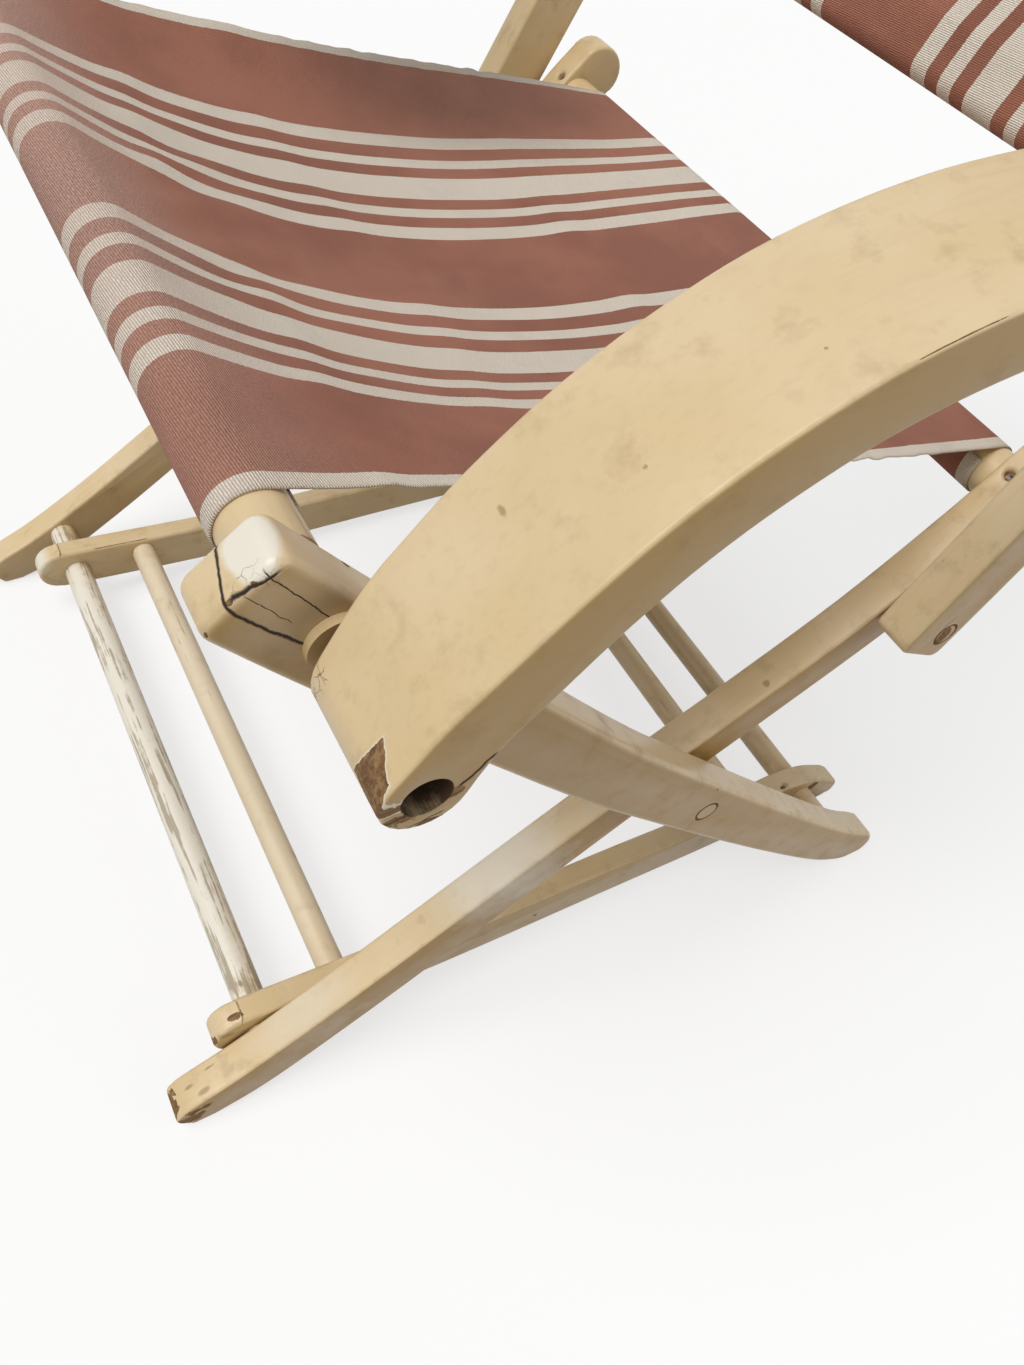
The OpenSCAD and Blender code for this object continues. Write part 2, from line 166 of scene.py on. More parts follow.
def oldEnamel(name, angle=0.0, along=(1, 16, 1), tint=0.0, sideShadeShare=0.5, edgeWear=0.1, streaks=0.0,
              patches=(), flakes=(), edgeChips=(), nicks=(), bores=(), palePaintAndLight=(), cracks=(),
              crazed=(), rings=()):
    # brush-painted enamel, decades old: soft gloss with brush marks, clouded yellow, rubbed on the
    # edges, crazed and chipped to brown beech where it was knocked
    material, tree = newMaterial(name)
    place = addNode(tree, "TexCoord", out=3)
    turned = addNode(tree, "Mapping", {"Vector": place, "Rotation": (angle, 0, 0), "Scale": along},
                     vector_type="TEXTURE")  # brush marks and grain run along the piece
    cloud = addNode(tree, "TexNoise", {"Vector": place, "Scale": 0.5 / enamel["cloudSize"],
                                       "Detail": 3, "Roughness": 0.55})
    blotch = addNode(tree, "TexNoise", {"Vector": place, "Scale": 0.5 / enamel["blotchSize"],
                                        "Detail": 4, "Roughness": 0.6})
    fine = addNode(tree, "TexNoise", {"Vector": place, "Scale": 0.5 / enamel["fineSize"], "Detail": 3,
                                      "Roughness": 0.6})
    streak = addNode(tree, "TexNoise", {"Vector": turned, "Scale": 0.5 / enamel["brushWidth"],
                                        "Detail": 3, "Roughness": 0.55})
    # painted colour: clouds, faint blotches, and painted shade on the side faces
    share = addNode(tree, "MapRange", cloud, 0.35, 0.68, tint, min(1.0, 0.75 + tint),
                    interpolation_type="SMOOTHSTEP")
    colour = addNode(tree, "Mix", {0: share, 6: hexColour(enamel["clean"]), 7: hexColour(enamel["aged"])},
                     out=2, data_type="RGBA")
    normal = addNode(tree, "NewGeometry", out=1)
    sideways = addNode(tree, "Math", addNode(tree, "SeparateXYZ", normal), operation="ABSOLUTE")
    # painted shade: faces turned along x are mixed towards the darker side colour, more on the near pieces
    side = addNode(tree, "MapRange", sideways, 0.70, 0.98, 0.0, sideShadeShare)
    colour = addNode(tree, "Mix", {0: side, 6: colour, 7: hexColour(enamel["sideShade"])},
                     out=2, data_type="RGBA")
    shade = addNode(tree, "MapRange", blotch, 0.52, 0.88, 0.0, 0.08, interpolation_type="SMOOTHSTEP")
    marks = addNode(tree, "MapRange", streak, 0.50, 0.80, 0.0, 0.10)
    shade = addNode(tree, "Math", shade, marks, operation="ADD")
    edge = addNode(tree, "MapRange", sideways, 0.12, 0.5, 0.0, 1.0)
    edge = addNode(tree, "Math", edge, addNode(tree, "MapRange", sideways, 0.6, 0.95, 1.0, 0.0),
                   operation="MULTIPLY")
    rubbed = addNode(tree, "Math", edge, edgeWear, blotch, operation="MULTIPLY_ADD")
    shade = addNode(tree, "Math", shade, addNode(tree, "MapRange", rubbed, 0.55, 0.80, 0.0, 0.30),
                    operation="ADD")
    colour = addNode(tree, "Mix", {0: shade, 6: colour, 7: hexColour(enamel["grime"])},
                     out=2, data_type="RGBA")
    # pale patches: thick glossy paint, and in places painted light: a painted highlight on the ends of the
    # crossing legs and painted light on a face in shade
    for centre, size, share in palePaintAndLight:
        mask = patchMask(tree, place, blotch, centre, size, 0.5, 0.22 if share == 1 else 0.6)
        mask = addNode(tree, "Math", mask, share, operation="MULTIPLY")
        colour = addNode(tree, "Mix", {0: mask, 6: colour, 7: hexColour(enamel["palePaintAndLight"])},
                         out=2, data_type="RGBA")
    # sparse specks of dirt sunk in the paint
    speck = tree.nodes.new("ShaderNodeTexVoronoi")
    tree.links.new(place, speck.inputs["Vector"])
    speck.inputs["Scale"].default_value = 1 / enamel["speckSpacing"]
    dot = addNode(tree, "Math", fine, 0.05, speck.outputs["Distance"], operation="MULTIPLY_ADD")
    dot = addNode(tree, "MapRange", dot, 0.035, 0.055, 1.0, 0.0)
    some = addNode(tree, "MapRange", addNode(tree, "SeparateColor", speck.outputs["Color"]), 0.55, 0.6)
    dot = addNode(tree, "Math", dot, some, operation="MULTIPLY")
    colour = addNode(tree, "Mix", {0: dot, 6: colour, 7: hexColour(enamel["speck"])}, out=2, data_type="RGBA")
    # bare beech where the paint is gone, its grain along the board, with the paint's pale broken rim
    rough = addNode(tree, "Math", fine, 0.35, addNode(tree, "Math", blotch, 0.65, operation="MULTIPLY"),
                    operation="MULTIPLY_ADD")
    bent = addNode(tree, "VectorMath", addNode(tree, "TexNoise", {
        "Vector": place, "Scale": 450.0, "Detail": 3}, out=1), (0.003,) * 3, place, operation="MULTIPLY_ADD")
    flake = addNode(tree, "TexVoronoi", {"Vector": bent, "Scale": 1 / enamel["flakeSize"]}, out=1)
    flake = addNode(tree, "SeparateColor", flake)
    flake = addNode(tree, "Math", flake, 0.6, addNode(tree, "Math", rough, 0.4, operation="MULTIPLY"),
                    operation="MULTIPLY_ADD")
    worn = addNode(tree, "Math", edge, edgeWear, rough, operation="MULTIPLY_ADD")
    worn = addNode(tree, "MapRange", worn, 0.80, 0.82)
    if streaks:                           # grey wood through long worn brush marks
        long = addNode(tree, "Math", blotch, 0.30, streak, operation="MULTIPLY_ADD")
        long = addNode(tree, "MapRange", long, 0.84 - 0.2 * streaks, 0.92 - 0.2 * streaks, 0.0, 0.75)
        colour = addNode(tree, "Mix", {0: long, 6: colour, 7: hexColour(enamel["greyWood"])},
                         out=2, data_type="RGBA")
    for centre, size in edgeChips:        # paint knocked off along an edge
        mask = addNode(tree, "Math", patchMask(tree, place, rough, centre, size, 0.6, 0.3), edge,
                       operation="MULTIPLY")
        mask = addNode(tree, "Math", rough, 0.9, mask, operation="MULTIPLY_ADD")
        worn = addNode(tree, "Math", worn, addNode(tree, "MapRange", mask, 1.27, 1.33), operation="MAXIMUM")
    rim = None
    for corners, front in flakes:         # one big angular flake gone from an end
        out = flakeMask(tree, place, rough, corners, front)
        worn = addNode(tree, "Math", worn, addNode(tree, "MapRange", out, 0.0024, 0.0026, 1.0, 0.0),
                       operation="MAXIMUM")
        rim = addNode(tree, "MapRange", out, 0.0029, 0.0031, 1.0, 0.0)
    for centre, size, ragged in patches:
        mask = patchMask(tree, place, rough if max(size) < 4 else flake, centre, size, ragged)
        worn = addNode(tree, "Math", worn, mask, operation="MAXIMUM")
    if rim:
        colour = addNode(tree, "Mix", {0: rim, 6: colour, 7: hexColour(enamel["brokenRim"])},
                         out=2, data_type="RGBA")
    grain = addNode(tree, "TexNoise", {"Vector": turned, "Scale": 0.5 / enamel["grainWidth"], "Detail": 4,
                                       "Roughness": 0.65})
    wood = addNode(tree, "Mix", {0: addNode(tree, "MapRange", grain, 0.38, 0.62),
                                 6: hexColour(enamel["woodDark"]), 7: hexColour(enamel["wood"])},
                   out=2, data_type="RGBA")
    colour = addNode(tree, "Mix", {0: worn, 6: colour, 7: wood}, out=2, data_type="RGBA")
    # cracks, crazing, rings of dirt and dark holes
    split, matt = None, worn
    for crack in cracks:
        line = crackMask(tree, place, blotch, *crack)
        split = addNode(tree, "Math", split, line, operation="MAXIMUM") if split else line
    if crazed:
        net = addNode(tree, "TexVoronoi", {"Vector": bent, "Scale": 1 / enamel["crazeSize"]},
                      feature="DISTANCE_TO_EDGE")
        net = addNode(tree, "MapRange", net, 0.015, 0.045, 0.7, 0.0)
        net = addNode(tree, "Math", net, addNode(tree, "MapRange", blotch, 0.42, 0.52), operation="MULTIPLY")
        for centre, size in crazed:
            mask = patchMask(tree, place, blotch, centre, size, 0.8, 0.2)
            line = addNode(tree, "Math", net, mask, operation="MULTIPLY")
            split = addNode(tree, "Math", split, line, operation="MAXIMUM") if split else line
    for centre, radius, width in rings:   # brown dirt in the joint round a pin
        line = ringMask(tree, place, blotch, centre, radius, width)
        colour = addNode(tree, "Mix", {0: line, 6: colour, 7: hexColour(enamel["jointDirt"])},
                         out=2, data_type="RGBA")
        matt = addNode(tree, "Math", matt, line, operation="MAXIMUM")
    for centre, radius in bores:          # the dark inside of a bore along x
        mask = patchMask(tree, place, blotch, centre, (90000, radius, radius), 0.1, 0.04)
        colour = addNode(tree, "Mix", {0: mask, 6: colour, 7: hexColour(enamel["bore"])},
                         out=2, data_type="RGBA")
        matt = addNode(tree, "Math", matt, mask, operation="MAXIMUM")
    # relief: brush marks and slight waves, paint lost from wood, open cracks
    height = addNode(tree, "Math", streak, 0.14, operation="MULTIPLY")
    height = addNode(tree, "Math", blotch, 0.30, height, operation="MULTIPLY_ADD")
    height = addNode(tree, "Math", worn, -0.5, height, operation="MULTIPLY_ADD")
    height = addNode(tree, "Math", dot, -0.3, height, operation="MULTIPLY_ADD")
    for centre, size in nicks:            # shallow knocks that only bruised the paint
        mask = patchMask(tree, place, fine, centre, size, 0.7, 0.5)
        mask = addNode(tree, "Math", mask, 0.6, operation="MULTIPLY")
        colour = addNode(tree, "Mix", {0: mask, 6: colour, 7: hexColour(enamel["grime"])},
                         out=2, data_type="RGBA")
        height = addNode(tree, "Math", mask, -0.9, height, operation="MULTIPLY_ADD")
    if split:
        colour = addNode(tree, "Mix", {0: split, 6: colour, 7: hexColour(enamel["crack"])},
                         out=2, data_type="RGBA")
        height = addNode(tree, "Math", split, -0.9, height, operation="MULTIPLY_ADD")
    bump = addNode(tree, "Bump", {"Strength": 0.55, "Distance": 0.0008, "Height": height})
    gloss = addNode(tree, "MapRange", blotch, 0.2, 0.8, enamel["roughness"] - 0.07,
                    enamel["roughness"] + 0.13)
    if split:
        matt = addNode(tree, "Math", matt, split, operation="MAXIMUM")
    gloss = addNode(tree, "Math", matt, 0.5, gloss, operation="MULTIPLY_ADD")
    shader = addNode(tree, "BsdfPrincipled", {"Base Color": colour, "Roughness": gloss, "Normal": bump})
    addNode(tree, "OutputMaterial", shader)
    return material


steelLooks = {"bare": "6F6A62", "rust": "5B3A22"}


def oldSteel():  # mild steel screws and nails, dulled, with brown rust in patches
    material, tree = newMaterial("dulled mild steel")
    place = addNode(tree, "TexCoord", out=3)
    rust = addNode(tree, "TexNoise", {"Vector": place, "Scale": 350.0, "Detail": 4, "Roughness": 0.65})
    rust = addNode(tree, "MapRange", rust, 0.45, 0.6)
    colour = addNode(tree, "Mix", {0: rust, 6: hexColour(steelLooks["bare"]),
                                   7: hexColour(steelLooks["rust"])}, out=2, data_type="RGBA")
    shader = addNode(tree, "BsdfPrincipled", {
        "Base Color": colour, "Metallic": addNode(tree, "Math", 1.0, rust, operation="SUBTRACT"),
        "Roughness": addNode(tree, "Math", rust, 0.35, 0.45, operation="MULTIPLY_ADD")})
    addNode(tree, "OutputMaterial", shader)
    return material


# Boards: the CAD shapes with eased edges

boards = {
    "edgeRadius": 0.0026,     # planed and sanded edges
    "armRadius": 0.0018,      # the arms are crisper
    "barRadius": 0.0030,      # low bars, worn by feet
    "crossRadius": 0.0044,    # the crossing legs are rounded over by hand
    "holeEase": 0.0004,
    "sharperThan": 35,        # degrees between two faces from which their edge is eased
    "armCornerInset": 0.0095,  # the arm's front inner corner, rounded off in plan
    "armCornerLength": 0.070,
    "armCornerDepth": 0.012,  # how far into the arm the rounding reaches
    "armWidth": 0.064,
}
bodyOf = {node: body for body, nodes in frame["record"]["behaviour"]["bodies"].items() for node in nodes}


def centreOf(node):
    low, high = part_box(node)
    return Vector(((low[1] + high[1]) / 2, (low[2] + high[2]) / 2))


holes = [(centreOf("leg_pivot_pins"), 0.0082), (centreOf("post_pivot_pins"), 0.0082),
         (centreOf("arm_screws"), 0.0095), (centreOf("front_tie_dowel"), 0.0112),
         (centreOf("rear_tie_dowel"), 0.0101), (centreOf("stretcher_front_dowel"), 0.0101),
         (centreOf("stretcher_rear_dowel"), 0.0101), (centreOf("front_seat_rail"), 0.0096),
         (centreOf("lower_back_rail"), 0.0096), (centreOf("upper_back_rail"), 0.0096)]


def onRim(a, b):  # an edge of a round hole: both its ends are as far from the middle of one
    for at, radius in holes:
        near, far = sorted(hypot(p.y - at.x, p.z - at.y) for p in (a, b))
        if far < radius and far - near < 0.00005:
            return True
    return False


def boardFrom(nodeName, pieceName, radius):  # a merged copy, its flat faces whole again, edges eased
    piece = frame["nodes"][nodeName].copy()
    piece.data = piece.data.copy()
    piece.parent = None
    piece.matrix_world = Matrix()
    for key in list(piece.keys()):
        del piece[key]
    piece.name = pieceName
    piece.data.name = pieceName
    bpy.context.scene.collection.objects.link(piece)
    onlySelect(piece)
    bpy.ops.object.mode_set(mode="EDIT")
    bpy.ops.mesh.select_all(action="SELECT")
    bpy.ops.mesh.remove_doubles(threshold=0.00035 if nodeName.endswith("_arm") else 0.00001)
    bpy.ops.mesh.dissolve_limited(angle_limit=radians(0.4))
    bpy.ops.object.mode_set(mode="OBJECT")
    mesh = piece.data
    weights = mesh.attributes.new("bevel_weight_edge", "FLOAT", "EDGE")
    sides = {}
    for polygon in mesh.polygons:
        for key in polygon.edge_keys:
            sides.setdefault(key, []).append(polygon.normal)
    for edge in mesh.edges:
        normals = sides.get(edge.key, [])
        if len(normals) != 2 or normals[0].angle(normals[1], 0) < radians(boards["sharperThan"]):
            continue
        rim = onRim(*(mesh.vertices[v].co for v in edge.vertices))
        weights.data[edge.index].value = boards["holeEase"] / radius if rim else 1
    bevel = piece.modifiers.new("ease", "BEVEL")
    bevel.limit_method = "WEIGHT"
    bevel.width = radius
    bevel.segments = 4
    bevel.use_clamp_overlap = False
    bevel.loop_slide = False
    normals = piece.modifiers.new("flat faces", "WEIGHTED_NORMAL")
    normals.keep_sharp = True
    applyModifiers(piece)
    bpy.ops.object.shade_smooth()
    return piece


def roundArmCorner(piece, nodeName):  # draws the inner face in towards the front end
    low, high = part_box(nodeName)
    innerX = min(abs(low[0]), abs(high[0]))
    for vertex in piece.data.vertices:
        inward = abs(vertex.co.x) - innerX
        back = vertex.co.y - low[1]
        if inward < boards["armCornerDepth"] and back < boards["armCornerLength"]:
            draw = boards["armCornerInset"] * (1 - back / boards["armCornerLength"]) ** 2.5
            vertex.co.x += draw * (1 - inward / boards["armWidth"]) * (1 if vertex.co.x > 0 else -1)


def dressBoard(nodeName, pieceName, material, radius=boards["edgeRadius"]):
    piece = boardFrom(nodeName, pieceName, radius)
    if nodeName.endswith("_arm"):
        roundArmCorner(piece, nodeName)
    piece.data.materials.clear()
    piece.data.materials.append(material)
    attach(piece, bodyOf[nodeName])
    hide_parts(nodeName)


def inMm(node):  # middle of a node seen from the side, for marks round an axis along x
    return (0, centreOf(node).x * 1000, centreOf(node).y * 1000)


legPin, postPin, armScrew = inMm("leg_pivot_pins"), inMm("post_pivot_pins"), inMm("arm_screws")
nail = inMm("rear_rail_nails")

dressBoard("left_main_leg", "leftMainLeg", oldEnamel(
    "brushed cream enamel, left main leg", radians(33), sideShadeShare=1.0,
    patches=[((258, -400, 14), (12, 5.5, 11), 0.9), ((269.5, -393, 13), (3, 9, 6), 1.3),
             ((268, -386, 21), (4.5, 9, 3), 1.4)],
    palePaintAndLight=[((256, -180, 153), (30, 60, 44), 0.7), ((256, -310, 70), (20, 60, 40), 0.4)],
    nicks=[((262.8, -13, 256.5), (3, 2.4, 2.4)), ((252, -160, 160), (2, 3, 3)),
           ((263.6, -379, 31), (2.4, 6, 4)), ((256, -386, 27), (1.6, 5, 3)), ((252, -372, 35), (1, 6, 4))],
    bores=[(nail, 3.4)]))
dressBoard("right_main_leg", "rightMainLeg", oldEnamel(
    "brushed cream enamel, right main leg", radians(33), sideShadeShare=0.3,
    patches=[((-258, -399, 14), (8, 5, 7), 1.2)], bores=[(nail, 3.4)]))
dressBoard("left_cross_leg", "leftCrossLeg", oldEnamel(
    "brushed cream enamel, left crossing leg", radians(-50), sideShadeShare=0.9,
    # whiter paint with a painted highlight on the leg's end, and painted light on the side face in the arm's
    # shadow
    palePaintAndLight=[((286, -314.5, 505.5), (15, 11.5, 9), 1), ((300, -302, 487), (7, 30, 30), 0.3)],
    patches=[((297, -324.5, 495.5), (1.3, 1.9, 1.6), 2.6), ((297.2, -315.5, 500.8), (1.0, 1.6, 1.0), 3.0),
             ((298, -333.5, 485.5), (0.8, 1.0, 1.8), 2.4),
             ((278, -279.5, 476.5), (1.6, 2.0, 2.2), 1.0), ((299, -63.9, 225.3), (1, 0.9, 0.9), 0.6)],
    cracks=[((296, -313, 481), (40, 33, 33), (0.24, 0.735, 0.633), 1.3),
            ((297.5, -316, 500.5), (3, 12, 8), (0, -0.42, 0.907), 1.1),
            ((299, -301, 488), (5, 25, 25), (0, 0.81, 0.588), 0.6),
            ((299, -313, 489), (5, 12, 12), (0, 0.79, 0.61), 0.3),
            ((282, -155, 328), (7, 5, 5), (0.34, -0.61, 0.71), 0.35)],
    crazed=[((296, -315, 502), (5, 13, 7)), ((299, -293, 470), (3, 6, 6))],
    rings=[(legPin, 7.6, 0.8)]), boards["crossRadius"])
dressBoard("right_cross_leg", "rightCrossLeg", oldEnamel(
    "brushed cream enamel, right crossing leg", radians(-50), sideShadeShare=0.25,
    # whiter paint with a painted highlight on the leg's end
    palePaintAndLight=[((-286, -314.5, 505.5), (15, 11.5, 9), 1)],
    patches=[((-299, -321, 499), (1.5, 7, 4), 1.5)],
    cracks=[((-299, -310, 490), (6, 26, 26), (0, 0.80, 0.6), 0.4)],
    rings=[(legPin, 7.6, 1.2)]), boards["crossRadius"])
dressBoard("left_back_post", "leftBackPost", oldEnamel(
    "brushed cream enamel, left back post", radians(60), sideShadeShare=0.75,
    cracks=[((299, 66, 304), (4, 9, 9), (0, -0.87, 0.5), 0.4),
            ((299, 70, 309), (4, 7, 7), (0, -0.87, 0.5), 0.3)],
    rings=[(postPin, 7.6, 0.8)]))
dressBoard("right_back_post", "rightBackPost", oldEnamel(
    "brushed cream enamel, right back post", radians(60), sideShadeShare=0.20,
    rings=[(postPin, 7.6, 1.2)]))
dressBoard("left_arm", "leftArm", oldEnamel(
    "brushed cream enamel, left arm", 0.0, sideShadeShare=0.78,
    flakes=[([(351.6, 480.5), (364.5, 476), (368.5, 464), (364, 462), (348.5, 464.5)], -298.5)],
    patches=[((367, -299, 458.6), (1.6, 4.5, 2), 1.6),
             ((367, -291, 451), (3, 6, 2.4), 1.6), ((367, -281.4, 462.5), (1.5, 3.6, 2.4), 1.6)],
    nicks=[((324.2, -249.3, 529.9), (3.2, 1.3, 1.3)), ((346, -219.6, 554.4), (0.9, 0.9, 0.9)),
           ((348, -169.2, 581), (0.7, 0.7, 0.7)), ((338, -270, 505), (0.8, 0.8, 0.8))],
    edgeChips=[((367, -105, 587), (5, 70, 8))],
    bores=[(armScrew, 9.1)],
    cracks=[((367, -274, 470), (3, 9, 9), (0, -0.655, 0.757), 1.3),
            ((367, -300, 459.5), (4, 7, 4), (0, -0.25, 0.97), 0.6),
            ((366, -292, 453), (6, 8, 5), (0.1, -0.2, 0.97), 0.5)],
    crazed=[((316, -304, 470), (6, 7, 10)), ((366, -300, 457), (4, 7, 5))]), boards["armRadius"])
dressBoard("right_arm", "rightArm", oldEnamel(
    "brushed cream enamel, right arm", 0.0, sideShadeShare=0.5,
    patches=[((-359, -306, 470), (5, 5, 4), 1.4)], edgeChips=[((-367, -150, 583), (5, 60, 10))],
    bores=[(armScrew, 9.1)]), boards["armRadius"])
dressBoard("left_stretcher_bar", "leftStretcherBar", oldEnamel(
    "brushed cream enamel, left stretcher bar", radians(-2), sideShadeShare=0.55, edgeWear=0.16,
    patches=[((238.5, -347.5, 60), (2.4, 6, 1.8), 0.9), ((242, 92, 46.6), (1.6, 2.6, 1.6), 1.2),
             ((245, -129, 23.8), (1.0, 1.5, 1.5), 0.8), ((245, 125, 32), (2.4, 5, 4), 1.2),
             ((243, -365, 48), (3, 3, 7), 1.2)],
    nicks=[((240.8, 95, 46.4), (3, 4, 2.5)), ((243, -355, 52), (4, 7, 4))]), boards["barRadius"])
dressBoard("right_stretcher_bar", "rightStretcherBar", oldEnamel(
    "brushed cream enamel, right stretcher bar", radians(-2), sideShadeShare=0.25, edgeWear=0.16,
    palePaintAndLight=[((-206, -362, 54), (16, 14, 12), 0.9)],
    edgeChips=[((-198, -290, 58), (5, 36, 9)), ((-198, -200, 52), (5, 24, 9))]),
    boards["barRadius"])
print("boards")

roundPaint = oldEnamel("brushed cream enamel, rails and dowels", along=(16, 1, 1), sideShadeShare=0.0,
                       streaks=0.1, palePaintAndLight=[((0, -300, 48), (400, 70, 60), 0.4)])
wornPaint = oldEnamel("rubbed cream enamel, front dowel", along=(20, 1, 1), sideShadeShare=0.0,
                      streaks=0.8, palePaintAndLight=[((0, -372, 42), (400, 60, 60), 1)],
                      nicks=[((213.8, -336, 48.2), (3, 2, 2))])
washerPaint = oldEnamel("cream enamel on turned washers", sideShadeShare=0.5)
pinPaint = oldEnamel("thin cream enamel over end grain", along=(1, 0.4, 1), tint=0.15, sideShadeShare=0.7,
                     rings=[(legPin, 7.5, 1.2), (postPin, 7.5, 1.2)],
                     patches=[((299, postPin[1] - 1.5, postPin[2]), (14, 4.5, 6), 0.5)])
steel = oldSteel()
for nodeName, node in frame["nodes"].items():
    paint = roundPaint
    if nodeName == "front_tie_dowel":
        paint = wornPaint
    if "washer" in nodeName:
        paint = washerPaint
    if "pin" in nodeName or "plug" in nodeName or "peg" in nodeName:
        paint = pinPaint
    if "screw" in nodeName or "nail" in nodeName:
        paint = steel
    node.data.materials.clear()
    node.data.materials.append(paint)
print("paint")


# Canvas: one length of cloth for the seat and one for the back, hemmed round their rails

canvas = {
    "brown": "B3745C",        # faded terracotta
    "brownDeep": "9A604B",    # less faded, where nobody sits
    "brownDark": "543420",    # painted shade on the far side of the hollow, where the dye is also least faded
    "white": "F5EDDD",        # unbleached white
    "rubAndSheen": "DCBFB2",        # rubbed pale over the front rail, partly a painted sheen where the cloth turns over it
    "dust": "8C7C6C",
    "ribShade": "BDAFA6",     # multiplied in between the ribs
    "thickness": 0.0010,
    "ribSpacing": 0.0011,     # ribs, drawn coarser than the real 0.75 mm so that they show
    "selvedge": 8,            # widths in mm across the cloth, from the sitter's left
    "group": [11, 10.5, 8.5, 10.5, 23, 11, 9.5, 11.5, 12],
    "seatBroad": [72, 75, 70],
    "backBroad": [71, 83.5, 62],
    "hemTurn": 295,           # degrees round the rail
    "railGap": 0.0003,
    "seatWidth": 0.448,
    "seatSkew": 0.019,        # how far the rear end sits towards the sitter's right
    "seatSag": 0.041,
    "seatEdgeSag": 0.005,
    "backSag": 0.025,
    "backEdgeSag": 0.006,
    "slatThickness": 0.018,   # the lower back rail, a flat bar with round edges
    "slatReach": 0.011,       # from its middle to where the round edges start
}


def stripeBands(broad):  # the end of each band as a share of the width, and whether it is white
    row = [(canvas["selvedge"], True)]
    for i, width in enumerate(broad):
        row.append((width, False))
        if i < 2:
            row += [(w, k % 2 == 0) for k, w in enumerate(canvas["group"])]
    row.append((canvas["selvedge"], True))
    total = sum(w for w, white in row)
    ends, run = [], 0
    for w, white in row:
        run += w
        ends.append((run / total, white))
    return ends


